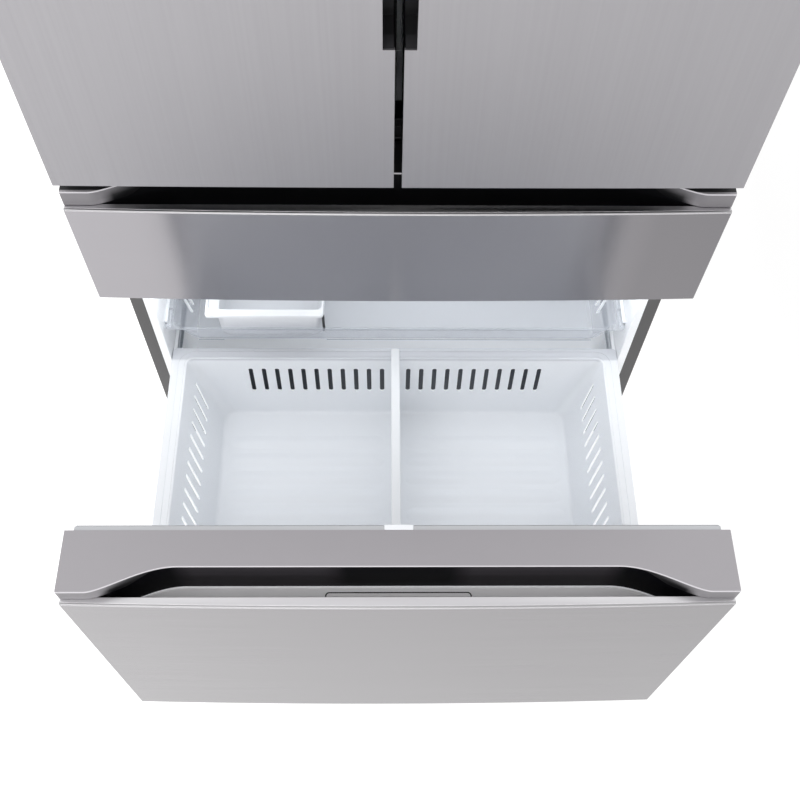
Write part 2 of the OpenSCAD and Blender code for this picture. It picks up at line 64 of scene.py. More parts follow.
BACK_Y = FRONT_T - 0.001    # where the inside pieces of a cap end
SLIDE = next(j for j in frame["joints"] if j["name"] == "freezer_drawer_slide")
PULL = -SLIDE["range_m"][0]     # how far the freezer drawer stands out as stored
MID = dict(z0=0.6357, rim=0.840, cap=0.8664)    # heights of the middle drawer's front
LOW = dict(z0=0.054, rim=0.594, cap=0.6204)     # heights of the freezer drawer's front

scene = bpy.context.scene
scene.view_settings.view_transform = "Standard"
scene.view_settings.look = "None"
scene.view_settings.exposure = 0.0


# ------------------------------------------------------------------ camera, at the photograph's angle
def make_camera():
    """Place, turn and lens were solved from the vanishing lines of the fronts in the photograph."""
    place = Vector((-0.0185, FRONT_Y - 0.9080, 1.9259))
    pitch, yaw, roll = math.radians(60.496), math.radians(1.650), math.radians(1.482)
    fwd = Vector((math.sin(yaw) * math.cos(pitch), math.cos(yaw) * math.cos(pitch), -math.sin(pitch)))
    right = Vector((math.cos(yaw), -math.sin(yaw), 0.0))
    up = right.cross(fwd)
    r = right * math.cos(roll) + up * math.sin(roll)
    u = up * math.cos(roll) - right * math.sin(roll)
    data = bpy.data.cameras.new("camera")
    data.sensor_width = 36.0
    data.lens = 46.23
    data.clip_end = 60.0
    cam = bpy.data.objects.new("camera", data)
    scene.collection.objects.link(cam)
    m = Matrix((r, u, -fwd)).transposed().to_4x4()
    m.translation = place
    cam.matrix_world = m
    scene.camera = cam


make_camera()


# ------------------------------------------------------------------ materials
M = {}      # every material, by name


def node_material(name):
    mat = bpy.data.materials.new(name)
    M[name] = mat
    mat.use_nodes = True
    nt = mat.node_tree
    nt.nodes.clear()
    out = nt.nodes.new("ShaderNodeOutputMaterial")
    bsdf = nt.nodes.new("ShaderNodeBsdfPrincipled")
    nt.links.new(bsdf.outputs[0], out.inputs[0])
    return nt, bsdf


def shader_of(name):
    """Node tree and Principled shader of a material that is already made."""
    nt = M[name].node_tree
    return nt, next(n for n in nt.nodes if n.type == "BSDF_PRINCIPLED")


def mapped(nt, scale=(1, 1, 1)):
    """Object coordinates, stretched by scale."""
    tc = nt.nodes.new("ShaderNodeTexCoord")
    mp = nt.nodes.new("ShaderNodeMapping")
    mp.inputs["Scale"].default_value = scale
    nt.links.new(tc.outputs["Object"], mp.inputs["Vector"])
    return mp.outputs[0]


def noise(nt, vec, scale, detail=4.0, rough=0.55):
    n = nt.nodes.new("ShaderNodeTexNoise")
    n.inputs["Scale"].default_value = scale
    n.inputs["Detail"].default_value = detail
    n.inputs["Roughness"].default_value = rough
    nt.links.new(vec, n.inputs["Vector"])
    return n.outputs[0]


def ramp(nt, fac, stops):
    """stops: (position, value or colour) pairs."""
    r = nt.nodes.new("ShaderNodeValToRGB")
    el = r.color_ramp.elements
    while len(el) < len(stops):
        el.new(0.5)
    for e, (pos, v) in zip(el, stops):
        e.position = pos
        e.color = (v, v, v, 1) if isinstance(v, (int, float)) else (*v, 1)
    nt.links.new(fac, r.inputs[0])
    return r.outputs[0]


def bump(nt, bsdf, height, strength, distance):
    b = nt.nodes.new("ShaderNodeBump")
    b.inputs["Strength"].default_value = strength
    b.inputs["Distance"].default_value = distance
    nt.links.new(height, b.inputs["Height"])
    nt.links.new(b.outputs[0], bsdf.inputs["Normal"])


def math_node(nt, operation, value, other=0.0):
    """other is a number or a socket."""
    node = nt.nodes.new("ShaderNodeMath")
    node.operation = operation
    nt.links.new(value, node.inputs[0])
    if isinstance(other, float):
        node.inputs[1].default_value = other
    else:
        nt.links.new(other, node.inputs[1])
    return node.outputs[0]


def map_range(nt, value, low, high, at_low, at_high):
    """Goes from at_low to at_high as value goes from low to high, and is held beyond both."""
    node = nt.nodes.new("ShaderNodeMapRange")
    for k, v in zip(range(1, 5), (low, high, at_low, at_high)):
        node.inputs[k].default_value = v
    nt.links.new(value, node.inputs[0])
    return node.outputs[0]


def object_axes(nt):
    """The x, y and z sockets of the object coordinates."""
    xyz = nt.nodes.new("ShaderNodeSeparateXYZ")
    nt.links.new(mapped(nt), xyz.inputs[0])
    return xyz.outputs


def box_mask(nt, centre, half, soft):
    """1 inside an object-space box, falling to 0 over soft beyond its faces; None skips an axis."""
    mask = None
    for axis, c, h in zip(object_axes(nt), centre, half):
        if h is not None:
            distance = math_node(nt, "ABSOLUTE", math_node(nt, "SUBTRACT", axis, c))
            side = map_range(nt, distance, h, h + soft, 1.0, 0.0)
            mask = side if mask is None else math_node(nt, "MULTIPLY", mask, side)
    return mask


def painted_light_box(name, colour, half, soft, centre=(0.0, 0.0, 0.0)):
    """Blends a material's base colour to another colour inside an object-space box: painted light or shade, in
    every use here.
    """
    nt, b = shader_of(name)
    source = b.inputs["Base Color"].links[0].from_socket
    mix = nt.nodes.new("ShaderNodeMix")
    mix.data_type = "RGBA"
    nt.links.new(box_mask(nt, centre, half, soft), mix.inputs[0])
    nt.links.new(source, mix.inputs[6])
    mix.inputs[7].default_value = (*colour, 1)
    nt.links.new(mix.outputs[2], b.inputs["Base Color"])


def painted_glow(name, strength):
    """Painted light: a faint emission on a surface that is no lamp, standing in for light or a highlight."""
    b = shader_of(name)[1]
    b.inputs["Emission Color"].default_value = (0.92, 0.96, 1.0, 1)
    b.inputs["Emission Strength"].default_value = strength


def painted_glow_box(name, strength, half, soft, centre):
    """The same painted emission, only inside an object-space box."""
    painted_glow(name, 0.0)
    nt, b = shader_of(name)
    level = map_range(nt, box_mask(nt, centre, half, soft), 0.0, 1.0, 0.0, strength)
    nt.links.new(level, b.inputs["Emission Strength"])


def shade(c, k):
    """A colour made darker or lighter by the factor k."""
    return tuple(min(1.0, v * k) for v in c)


def steel(name, colour, grain, rough, contrast):
    """Brushed stainless: fine grain along one axis in colour, roughness and bump."""
    nt, b = node_material(name)
    scale = {"x": (1.2, 260.0, 260.0), "z": (260.0, 260.0, 1.2)}[grain]
    fine = noise(nt, mapped(nt, scale), 1.0, 6.0, 0.7)
    wide = noise(nt, mapped(nt, tuple(s * 0.04 for s in scale)), 1.0, 3.0)
    col = ramp(nt, fine, [(0.25, shade(colour, 1 - contrast)), (0.75, shade(colour, 1 + contrast))])
    mix = nt.nodes.new("ShaderNodeMix")
    mix.data_type = "RGBA"
    mix.blend_type = "MULTIPLY"
    mix.inputs[0].default_value = 1.0
    nt.links.new(col, mix.inputs[6])
    nt.links.new(ramp(nt, wide, [(0.3, 0.98), (0.7, 1.0)]), mix.inputs[7])
    nt.links.new(mix.outputs[2], b.inputs["Base Color"])
    nt.links.new(ramp(nt, fine, [(0.2, rough * 0.86), (0.8, rough * 1.16)]), b.inputs["Roughness"])
    b.inputs["Metallic"].default_value = 1.0
    b.inputs["Anisotropic"].default_value = 0.6
    b.inputs["Anisotropic Rotation"].default_value = {"x": 0.25, "z": 0.0}[grain]
    bump(nt, b, fine, 0.04, 0.0002)


def plastic(name, colour, rough, tint, grain, grain_bump, coat=0.0, metallic=0.0, specular=0.5):
    """Moulded plastic or paint: a tone that drifts by tint, a fine grain, roughness variation."""
    nt, b = node_material(name)
    vec = mapped(nt)
    drift = noise(nt, vec, 6.0, 3.0)
    fine = noise(nt, vec, grain, 3.0, 0.6)
    nt.links.new(ramp(nt, drift, [(0.3, shade(colour, 1 - tint)), (0.7, shade(colour, 1 + tint))]),
                 b.inputs["Base Color"])
    nt.links.new(ramp(nt, fine, [(0.25, rough * 0.85), (0.75, min(1.0, rough * 1.15))]),
                 b.inputs["Roughness"])
    b.inputs["Metallic"].default_value = metallic
    b.inputs["Coat Weight"].default_value = coat
    b.inputs["Coat Roughness"].default_value = 0.08
    b.inputs["Specular IOR Level"].default_value = specular
    bump(nt, b, fine, grain_bump, 0.0003)


def foam_material(name, colour):
    """Insulating foam with fine open cells."""
    nt, b = node_material(name)
    vec = mapped(nt)
    v = nt.nodes.new("ShaderNodeTexVoronoi")
    v.inputs["Scale"].default_value = 420.0
    nt.links.new(vec, v.inputs["Vector"])
    nt.links.new(ramp(nt, v.outputs[0], [(0.0, shade(colour, 0.8)), (0.6, colour)]), b.inputs["Base Color"])
    b.inputs["Roughness"].default_value = 0.9
    bump(nt, b, v.outputs[0], 0.4, 0.001)


def clear_material(name, colour, alpha, rough, edge_alpha=0.4):
    """Clear or frosted plastic and glass, shown through alpha so that it exports."""
    nt, b = node_material(name)
    vec = mapped(nt)
    fres = nt.nodes.new("ShaderNodeFresnel")
    fres.inputs[0].default_value = 1.45
    nt.links.new(ramp(nt, noise(nt, vec, 14.0, 3.0), [(0.3, shade(colour, 0.97)), (0.7, colour)]),
                 b.inputs["Base Color"])
    nt.links.new(ramp(nt, noise(nt, vec, 500.0), [(0.3, rough * 0.8), (0.7, rough * 1.2)]),
                 b.inputs["Roughness"])
    nt.links.new(ramp(nt, fres.outputs[0], [(0.0, alpha), (0.6, min(1.0, alpha + edge_alpha))]),
                 b.inputs["Alpha"])


# case, cooling system and compartments
plastic("case_paint", (0.068, 0.065, 0.066), 0.42, 0.04, 500.0, 0.12)
plastic("back_steel", (0.20, 0.205, 0.21), 0.45, 0.05, 400.0, 0.06, metallic=0.5)
foam_material("foam", (0.80, 0.72, 0.50))
plastic("liner_white", (0.88, 0.90, 0.93), 0.30, 0.012, 700.0, 0.03)
plastic("liner_freezer", (0.94, 0.955, 0.975), 0.30, 0.012, 700.0, 0.03)
plastic("frame_dark", (0.03, 0.032, 0.035), 0.5, 0.08, 300.0, 0.08)
plastic("grille_dark", (0.02, 0.021, 0.023), 0.55, 0.08, 600.0, 0.15)
plastic("foot_black", (0.018, 0.018, 0.02), 0.6, 0.1, 600.0, 0.15)
plastic("roller_black", (0.02, 0.02, 0.022), 0.7, 0.1, 900.0, 0.2)
plastic("compressor_black", (0.018, 0.019, 0.021), 0.25, 0.1, 200.0, 0.05, coat=0.5)
plastic("copper", (0.72, 0.36, 0.20), 0.32, 0.12, 500.0, 0.05, metallic=1.0)
plastic("coil_metal", (0.70, 0.72, 0.74), 0.35, 0.06, 500.0, 0.05, metallic=1.0)
plastic("fan_black", (0.03, 0.031, 0.035), 0.5, 0.06, 600.0, 0.1)
plastic("light_lens", (0.92, 0.91, 0.87), 0.5, 0.01, 900.0, 0.1)
clear_material("glass", (0.72, 0.86, 0.86), 0.28, 0.05)
plastic("trim_white", (0.84, 0.865, 0.89), 0.35, 0.012, 700.0, 0.04)
clear_material("clear_bin", (0.82, 0.90, 0.95), 0.42, 0.14)
clear_material("tray_clear", (0.68, 0.71, 0.77), 0.14, 0.12, 0.22)
plastic("edge_shade", (0.36, 0.38, 0.42), 0.30, 0.01, 900.0, 0.02)
plastic("bin_white", (0.90, 0.922, 0.952), 0.30, 0.012, 800.0, 0.03)
plastic("slot_white", (0.92, 0.94, 0.96), 0.40, 0.01, 800.0, 0.02)
plastic("ice_white", (0.90, 0.915, 0.94), 0.30, 0.01, 800.0, 0.03)
plastic("rail_white", (0.90, 0.92, 0.94), 0.30, 0.008, 800.0, 0.03)
# hinges and slides
plastic("hinge_steel", (0.12, 0.122, 0.126), 0.35, 0.06, 300.0, 0.06, metallic=0.8)
plastic("cover_dark", (0.05, 0.052, 0.056), 0.5, 0.06, 700.0, 0.14)
plastic("slide_zinc", (0.60, 0.62, 0.64), 0.30, 0.06, 300.0, 0.05, metallic=1.0)
# grip caps, pockets and seals
plastic("door_end_grey", (0.035, 0.035, 0.038), 0.5, 0.04, 700.0, 0.12)
plastic("cap_grey", (0.385, 0.370, 0.390), 0.42, 0.012, 1400.0, 0.05, metallic=0.35)
# a darker copy of cap_grey for the cap's forward faces: painted shade
plastic("fascia_shaded_grey", (0.195, 0.187, 0.198), 0.42, 0.012, 1400.0, 0.05, metallic=0.35)
# a lighter, glossier grey for the cap's rounded front edge: a painted highlight
plastic("cap_edge_highlight", (0.54, 0.525, 0.55), 0.25, 0.01, 1400.0, 0.02)
# near white, far lighter than the cap's grey: painted light that lifts the shaded pocket floor
plastic("pocket_grey", (0.97, 0.96, 0.98), 0.38, 0.012, 1400.0, 0.05)
# near white with painted emission for the pocket floor's rounded back edge: a painted highlight
plastic("pocket_edge_highlight", (0.97, 0.96, 0.98), 0.25, 0.01, 1400.0, 0.02)
# near white for the same reason: painted light that lifts the plate in the shaded pocket
plastic("plate_grey", (0.94, 0.925, 0.94), 0.34, 0.012, 1400.0, 0.05)
plastic("pocket_soft", (0.028, 0.025, 0.029), 0.45, 0.05, 700.0, 0.03, specular=0.02)
plastic("gasket_door", (0.50, 0.51, 0.53), 0.55, 0.03, 400.0, 0.12)
# near black: painted shade on the middle drawer's pocket wall, and the dark joint round the pocket plate
plastic("pocket_black", (0.004, 0.004, 0.005), 0.45, 0.1, 700.0, 0.03, specular=0.15)
plastic("gasket_grey", (0.50, 0.51, 0.53), 0.55, 0.03, 400.0, 0.12)
plastic("flap_dark", (0.006, 0.006, 0.007), 0.45, 0.06, 700.0, 0.12, specular=0.2)
# brushed stainless
steel("steel_doors", (0.425, 0.415, 0.432), "z", 0.55, 0.012)
steel("steel_mid", (0.345, 0.334, 0.351), "x", 0.18, 0.008)
steel("steel_freezer", (0.290, 0.281, 0.290), "x", 0.25, 0.008)
# a lighter copy of the panel steels for the panels' upward roundings: a painted highlight
steel("steel_rim_highlight", (0.42, 0.415, 0.425), "x", 0.35, 0.004)
# a much lighter copy for the hem along each panel's top: a painted highlight
steel("steel_hem_highlight", (0.76, 0.75, 0.77), "x", 0.30, 0.008)

# ------------------------------------------------------------------ painted light and shade, in tones that change from place to place
# near-black colours, used only for painted shade
PAINTED_SHADE_BLACK = (0.004, 0.004, 0.005)
GAP_SHADE_BLACK = (0.012, 0.012, 0.014)
GAP_X = -0.0026             # middle of the gap between the doors
GAP_SHADE_HALF = 0.014            # half the width of the painted shade patch behind that gap


def freezer_inside_painted_light():
    """Painted shade and light: the floor behind the bin's slots is painted dark as shade, the liner further back
    and the slots' faces get a painted emission as light, and the bin's rear rim is painted darker as shade.
    """
    painted_light_box("liner_freezer", (0.05, 0.055, 0.065), (None, 0.050, 0.04), 0.02, (0.0, -0.050, 0.08))
    painted_glow_box("liner_freezer", 0.10, (None, 0.065, 0.10), 0.04, (0.0, 0.10, 0.10))
    painted_glow("slot_white", 0.10)
    painted_light_box("bin_white", (0.68, 0.70, 0.74), (None, 0.0125, 0.004), 0.004, (0.0, -0.0900, 0.288))


def cap_painted_light():
    """Painted reflection and shade: the freezer's grip pocket wall is painted blackest in its middle and at both
    ends, as reflection; both fascias are painted to fade to black inwards, as shade; the pocket's edge gets a
    painted highlight; the middle drawer's cap top is painted near black under the doors, as shade.
    """
    painted_glow("pocket_edge_highlight", 0.15)
    painted_light_box("pocket_soft", (0.003, 0.003, 0.004), (0.070, None, None), 0.03)
    for side in (-1, 1):
        painted_light_box("pocket_soft", (0.002, 0.002, 0.003), (0.035, None, None), 0.03, (side * 0.345, 0.0, 0.0))
    painted_light_box("fascia_shaded_grey", PAINTED_SHADE_BLACK, (0.336, None, None), 0.054)
    for heights in (LOW, MID):      # painted shade: the fascia is painted dark first along its lower edge
        painted_light_box("fascia_shaded_grey", PAINTED_SHADE_BLACK, (0.386, None, 0.012), 0.016, (0.0, 0.0, heights["rim"] - 0.001))
    # painted shade: the strip of the middle drawer's cap under the doors is painted near black
    painted_light_box("cap_grey", (0.028, 0.028, 0.030), (None, 0.050, 0.036), 0.0005, (0.0, FRONT_Y + 0.0629, 0.9))


def mid_panel_painted_reflection():
    """Painted reflection: the middle panel's colour is painted lighter in its middle and darker at its right end.
    """
    painted_light_box("steel_mid", (0.395, 0.383, 0.400), (0.250, None, None), 0.06)
    painted_light_box("steel_mid", (0.235, 0.227, 0.239), (0.14, None, None), 0.12, (0.50, 0.0, 0.0))


def door_gap_painted_shade():
    """Painted shade: the gap between the doors is painted near black on the skin edges, the seals and a patch on
    the case front behind it.
    """
    painted_light_box("steel_doors", GAP_SHADE_BLACK, (0.0072, 0.2058, None), 0.0008, (GAP_X, 0.0, 1.3))
    for name in ("case_paint", "liner_white"):
        painted_light_box(name, PAINTED_SHADE_BLACK, (GAP_SHADE_HALF, 0.022, 0.085), 0.003, (GAP_X, -0.092, 0.915))
    painted_light_box("gasket_grey", (0.006, 0.006, 0.007), (GAP_SHADE_HALF, 0.012, 0.012), 0.003,
             (GAP_X, FRONT_Y + 0.101, MID["cap"] - 0.0004))
    painted_light_box("gasket_door", GAP_SHADE_BLACK, (0.020, None, None), 0.004, (GAP_X, 0.0, 1.3))


freezer_inside_painted_light()
cap_painted_light()
mid_panel_painted_reflection()
door_gap_painted_shade()


# ------------------------------------------------------------------ mesh helpers
REPLACED = set()        # CAD nodes that a finer piece stands in for


def face_index(normal, flat):
    """Material of a face: 1 looks forwards, 2 is a rounding that looks up less than flat does, 0 the rest."""
    if 0.15 < normal.z < flat:
        return 2
    return 1 if normal.y < -0.5 and abs(normal.z) < 0.15 else 0


def make_piece(name, bm, body, mat, replaces=(), bevel=0.0, segments=3, sharp=38.0, pull=0.0,
               front=None, edge=None):
    """One named piece on a body; its outline is drawn from the front's plane and moved out by pull.
    front, edge: materials for the faces that look forwards and for the rounding above them; a darker front
    material is painted shade, and the edge material is a painted highlight."""
    me = bpy.data.meshes.new(name)
    bmesh.ops.recalc_face_normals(bm, faces=bm.faces)
    bm.to_mesh(me)
    bm.free()
    for p in me.polygons:
        p.use_smooth = True
    me.set_sharp_from_angle(angle=math.radians(sharp))
    me.materials.append(M[mat])
    if edge:
        me.materials.append(M[front or mat])
        me.materials.append(M[edge])
        flat = 0.97 if front else 1.1
        for p in me.polygons:
            p.material_index = face_index(p.normal, flat)
    for v in me.vertices:
        v.co.y += FRONT_Y - pull
    ob = bpy.data.objects.new(name, me)
    scene.collection.objects.link(ob)
    if bevel:
        add_bevel(ob, bevel, segments)
    else:
        ob.modifiers.new("normals", "WEIGHTED_NORMAL").keep_sharp = True
    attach(ob, body)
    if replaces:
        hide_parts(*replaces)
        REPLACED.update(replaces)
    return ob


def add_bevel(ob, width, segments):
    m = ob.modifiers.new("edge", "BEVEL")
    m.width = width
    m.segments = segments
    m.limit_method = "ANGLE"
    m.angle_limit = math.radians(36.0)
    m.miter_outer = "MITER_ARC"
    ob.modifiers.new("normals", "WEIGHTED_NORMAL").keep_sharp = True


def prism(bm, outline, a0, a1, axis="z"):
    """Closed prism of an outline; axis z takes (x, y), axis y takes (x, z), axis x takes (y, z)."""
    def at(p, a):
        return {"z": (p[0], p[1], a), "y": (p[0], a, p[1]), "x": (a, p[0], p[1])}[axis]
    low = [bm.verts.new(at(p, a0)) for p in outline]
    high = [bm.verts.new(at(p, a1)) for p in outline]
    n = len(outline)
    bm.faces.new(low)
    bm.faces.new(high)
    for i in range(n):
        bm.faces.new((low[i], low[(i + 1) % n], high[(i + 1) % n], high[i]))


def block(bm, x0, x1, y0, y1, z0, z1):
    prism(bm, [(x0, y0), (x1, y0), (x1, y1), (x0, y1)], z0, z1)


def rounded(x0, x1, y0, y1, r, n=6):
    """Rounded rectangle, counter-clockwise; r is one radius or four (from the x0, y0 corner on)."""
    rs = r if isinstance(r, (tuple, list)) else (r, r, r, r)
    pts = []
    corners = ((x0, y0, 1, 1, 180), (x1, y0, -1, 1, 270), (x1, y1, -1, -1, 0), (x0, y1, 1, -1, 90))
    for (cx, cy, sx, sy, start), rr in zip(corners, rs):
        for i in range(n + 1):
            a = math.radians(start + 90 * i / n)
            pts.append((cx + sx * rr + rr * math.cos(a), cy + sy * rr + rr * math.sin(a)))
    return pts


def loft(bm, loops, caps=True):
    """Skins loops of (x, y, z) points that all have the same count."""
    rows = [[bm.verts.new(p) for p in loop] for loop in loops]
    n = len(rows[0])
    for a, b in zip(rows, rows[1:]):
        for i in range(n):
            bm.faces.new((a[i], a[(i + 1) % n], b[(i + 1) % n], b[i]))
    if caps:
        bm.faces.new(rows[0])
        bm.faces.new(rows[-1])
    return rows


def ring(bm, loops):
    """Loft closed on itself: the last loop joins the first."""
    rows = loft(bm, loops, caps=False)
    n = len(rows[0])
    for i in range(n):
        bm.faces.new((rows[-1][i], rows[-1][(i + 1) % n], rows[0][(i + 1) % n], rows[0][i]))


def at_z(points, z):
    return [(x, y, z) for x, y in points]


def cut(ob, cutter_bm, pull=0.0, mat=None):
    """Boolean difference, applied at once, so that no cutter is left; mat dresses the cut faces."""
    cm = bpy.data.meshes.new("cutter")
    cm.materials.append(M[mat] if mat else ob.data.materials[0])
    bmesh.ops.recalc_face_normals(cutter_bm, faces=cutter_bm.faces)
    cutter_bm.to_mesh(cm)
    cutter_bm.free()
    for v in cm.vertices:
        v.co.y += FRONT_Y - pull
    co = bpy.data.objects.new("cutter", cm)
    scene.collection.objects.link(co)
    ob.modifiers.clear()
    mod = ob.modifiers.new("slots", "BOOLEAN")
    mod.operation = "DIFFERENCE"
    mod.solver = "EXACT"
    mod.material_mode = "TRANSFER"
    mod.object = co
    dg = bpy.context.evaluated_depsgraph_get()
    dg.update()
    done = bpy.data.meshes.new_from_object(ob.evaluated_get(dg))
    ob.modifiers.remove(mod)
    ob.data = done
    for p in done.polygons:
        p.use_smooth = True
    done.set_sharp_from_angle(angle=math.radians(38))
    ob.modifiers.new("normals", "WEIGHTED_NORMAL").keep_sharp = True
    bpy.data.objects.remove(co)
    bpy.data.meshes.remove(cm)


def smoothstep(t):
    t = max(0.0, min(1.0, t))
    return t * t * (3 - 2 * t)


def sweep_y(x):
    """Front of a grip cap at x: forward at the ends, swept back to the pocket's wall."""
    t = max(0.0, min(1.0, (SWEEP_START - abs(x)) / SWEEP_LEN))
    return CAP_END_Y + (POCKET_Y - CAP_END_Y) * smoothstep(t ** 0.8)


def sweep_line(half, inset=0.0):
    """The swept front edge from left to right, moved back by inset."""
    steps = 48
    xs = [-half]
    xs += [-SWEEP_START + SWEEP_LEN * i / steps for i in range(steps + 1)]
    xs += [SWEEP_START - SWEEP_LEN + SWEEP_LEN * i / steps for i in range(steps + 1)]
    xs += [half]
    return [(x, sweep_y(x) + inset) for x in xs]


def bow_y(x):
    """Face of a drawer panel at x, in front of its ends."""
    return -DRAWER_BOW * (1 - (x / HALF_W) ** 2)


# ------------------------------------------------------------------ drawer fronts
def quarter(r, n=4):
    """(inset, depth) pairs round a quarter circle: from (r, 0) to (0, r)."""
    angles = [math.radians(90 * i / n) for i in range(n + 1)]
    return [(r * (1 - math.sin(a)), r * (1 - math.cos(a))) for a in angles]


def with_ends(xs, r):
    """(x, inset) pairs along xs, with both ends rounded off by r."""
    left = [(xs[0] + i, d) for i, d in reversed(quarter(r))]
    right = [(xs[-1] - i, d) for i, d in quarter(r)]
    return left + [(x, 0.0) for x in xs if xs[0] + r < x < xs[-1] - r] + right


def panel_section(x, inset, z0, rim):
    """Drawer panel: rounded front edges; its skin ends in a fine groove just behind the top edge."""
    front = bow_y(x) + inset
    low, top = z0 + inset * 0.5, rim - inset * 0.5
    pts = [(front + i, low + d) for i, d in quarter(0.0020)]
    pts += [(front + i, top - d) for i, d in reversed(quarter(0.0026))]
    pts += [(front + GROOVE_Y, top), (front + GROOVE_Y + 0.0001, top - GROOVE_D)]
    return [(x, y, z) for y, z in pts + [(RIM_T, top - GROOVE_D), (RIM_T, low)]]


def hem_section(x, inset, rim):
    """Strip that fills the top of the panel behind the groove; its brightness is a painted highlight."""
    front = bow_y(x) + HEM_Y + inset
    low, top = rim - HEM_H, rim - inset * 0.5
    pts = [(front - 0.0006, low), (front - 0.0006, top - 0.0003)]
    pts += [(front + i, top - d) for i, d in reversed(quarter(0.0003))]
    pts += [(RIM_T - i, top - d) for i, d in quarter(0.0010)] + [(RIM_T, low)]
    return [(x, y, z) for y, z in pts]


def fascia_low(x, rim, cap):
    """Lower edge of the fascia: full height at the ends, a thin lip along the grip."""
    t = smoothstep((0.372 - abs(x)) / 0.050)
    return (rim + LEDGE) * (1 - t) + (cap - LIP_H) * t


def cap_section(x, inset, rim, cap):
    y, low = sweep_y(x) + inset, fascia_low(x, rim, cap)
    pts = [(y + i, cap - d) for i, d in quarter(0.0018)]
    pts += [(y, low + 0.0003), (y + 0.0004, low), (FRONT_T, low), (FRONT_T, cap)]
    return [(x, a, b) for a, b in pts]


def drawer_panel(tag, body, pull, z0, rim, steel_name):
    """Stainless panel: bowed face, a hem behind its top edge, folded sides and bottom; the hem and the upward
    rounding of the top carry a painted highlight.
    """
    node, hw = [tag + "_panel"], HALF_W
    xs = [-hw + 2 * hw * i / 48 for i in range(49)]
    bm = bmesh.new()
    loft(bm, [panel_section(x, e, z0, rim) for x, e in with_ends(xs, 0.0020)])
    make_piece(tag + "_panel_front", bm, body, steel_name, node, pull=pull, edge="steel_rim_highlight")
    bm = bmesh.new()
    loft(bm, [hem_section(x, e, rim) for x, e in with_ends(xs, 0.0020)])
    make_piece(tag + "_panel_hem", bm, body, "steel_hem_highlight", node, pull=pull)
    bm = bmesh.new()
    for s in (-1, 1):
        a, b = sorted((s * (hw - 0.0001), s * (hw - SKIN)))
        block(bm, a, b, RIM_T, FRONT_T, z0 + 0.002, rim)
    block(bm, -hw + 0.0001, hw - 0.0001, RIM_T, FRONT_T, z0 + 0.0001, z0 + SKIN)
    make_piece(tag + "_panel_returns", bm, body, steel_name, node, 0.0004, 2, pull=pull)


def pocket_floor(bm, floor):
    """Floor slab of a grip pocket, with a cove where it meets the swept wall."""
    hw, r, under = HALF_W, 0.0028, floor - 0.002
    block(bm, -hw + SKIN, hw - SKIN, RIM_T, BACK_Y, floor - 0.003, floor - 0.0004)
    rows = []
    for x, y in sweep_line(0.412, 0.0018):
        if y > RIM_T + r + 0.001:
            pts = [(RIM_T, floor)] + [(y - i, floor + d) for i, d in quarter(r)]
            pts += [(y + 0.002, floor + r), (y + 0.002, under), (RIM_T, under)]
            rows.append([(x, a, b) for a, b in pts])
    loft(bm, rows)


def grip_cap(tag, body, pull, rim, cap, wall_mat):
    """Grip cap: a grey top whose fascia thins to a lip, over a dark swept wall and a light floor; the fascia's
    darker grey is painted shade and its rounded front edge a painted highlight.
    """
    node, hw = [tag + "_handle_cap"], HALF_W
    floor = cap - POCKET_H
    near_ends = [s * (hw - 0.004 * i) for i in range(1, 10) for s in (-1, 1)]
    xs = sorted({round(x, 6) for x in [p[0] for p in sweep_line(hw)] + near_ends})
    bm = bmesh.new()
    loft(bm, [cap_section(x, e, rim, cap) for x, e in with_ends(xs, 0.0012)])
    make_piece(tag + "_cap_top", bm, body, "cap_grey", node, pull=pull,
               front="fascia_shaded_grey", edge="cap_edge_highlight")
    bm = bmesh.new()
    wall = [(x, max(y, RIM_T)) for x, y in sweep_line(hw - SKIN, 0.0016)]
    prism(bm, wall + [(hw - SKIN, BACK_Y), (-hw + SKIN, BACK_Y)], floor, rim + LEDGE)
    half = hw - 0.02
    prism(bm, sweep_line(half, 0.0016) + [(half, BACK_Y), (-half, BACK_Y)], rim, cap - 0.0016)
    make_piece(tag + "_cap_wall", bm, body, wall_mat, node, pull=pull)
    bm = bmesh.new()
    pocket_floor(bm, floor)
    make_piece(tag + "_pocket_floor", bm, body, "pocket_grey", node, pull=pull,
               front="pocket_grey", edge="pocket_edge_highlight")


def drawer_front(tag, body, pull, heights, steel_name, wall_mat):
    drawer_panel(tag, body, pull, heights["z0"], heights["rim"], steel_name)
    grip_cap(tag, body, pull, heights["rim"], heights["cap"], wall_mat)


def seal(name, node, body, z0, z1, pull):
    """Soft magnetic seal: a rounded bellows section swept round the opening."""
    bm = bmesh.new()
    y0, y1, w = FRONT_T, 0.1054, SEAL_W
    section = [(0.0, y0), (0.0, y1 - 0.003), (0.002, y1 - 0.0008), (0.0045, y1), (w - 0.0045, y1),
               (w - 0.002, y1 - 0.0008), (w, y1 - 0.003), (w, y0)]
    loops = []
    for inset, y in section:
        half, r = SEAL_HALF - inset, max(0.0015, 0.0045 - inset)
        loops.append([(x, y, z) for x, z in rounded(-half, half, z0 + inset, z1 - inset, r, 5)])
    ring(bm, loops)
    return make_piece(name, bm, body, "gasket_grey", [node], pull=pull)


def freezer_seal():
    """The freezer drawer's seal, with a notch for the clip of the bin's divider."""
    low_seal = seal("freezer_seal", "freezer_gasket", "freezer_drawer", 0.062, 0.620, PULL)
    notch = bmesh.new()
    block(notch, -CLIP_HALF - 0.0002, CLIP_HALF + 0.0002, 0.090, 0.110, 0.6159, 0.630)
    cut(low_seal, notch, PULL)


# the middle drawer's pocket wall is painted near black: painted shade under the doors
drawer_front("mid", "mid_drawer", 0.0, MID, "steel_mid", "pocket_black")
drawer_front("freezer", "freezer_drawer", PULL, LOW, "steel_freezer", "pocket_soft")
seal("mid_seal", "mid_gasket", "mid_drawer", 0.641, 0.866, 0.0)
freezer_seal()


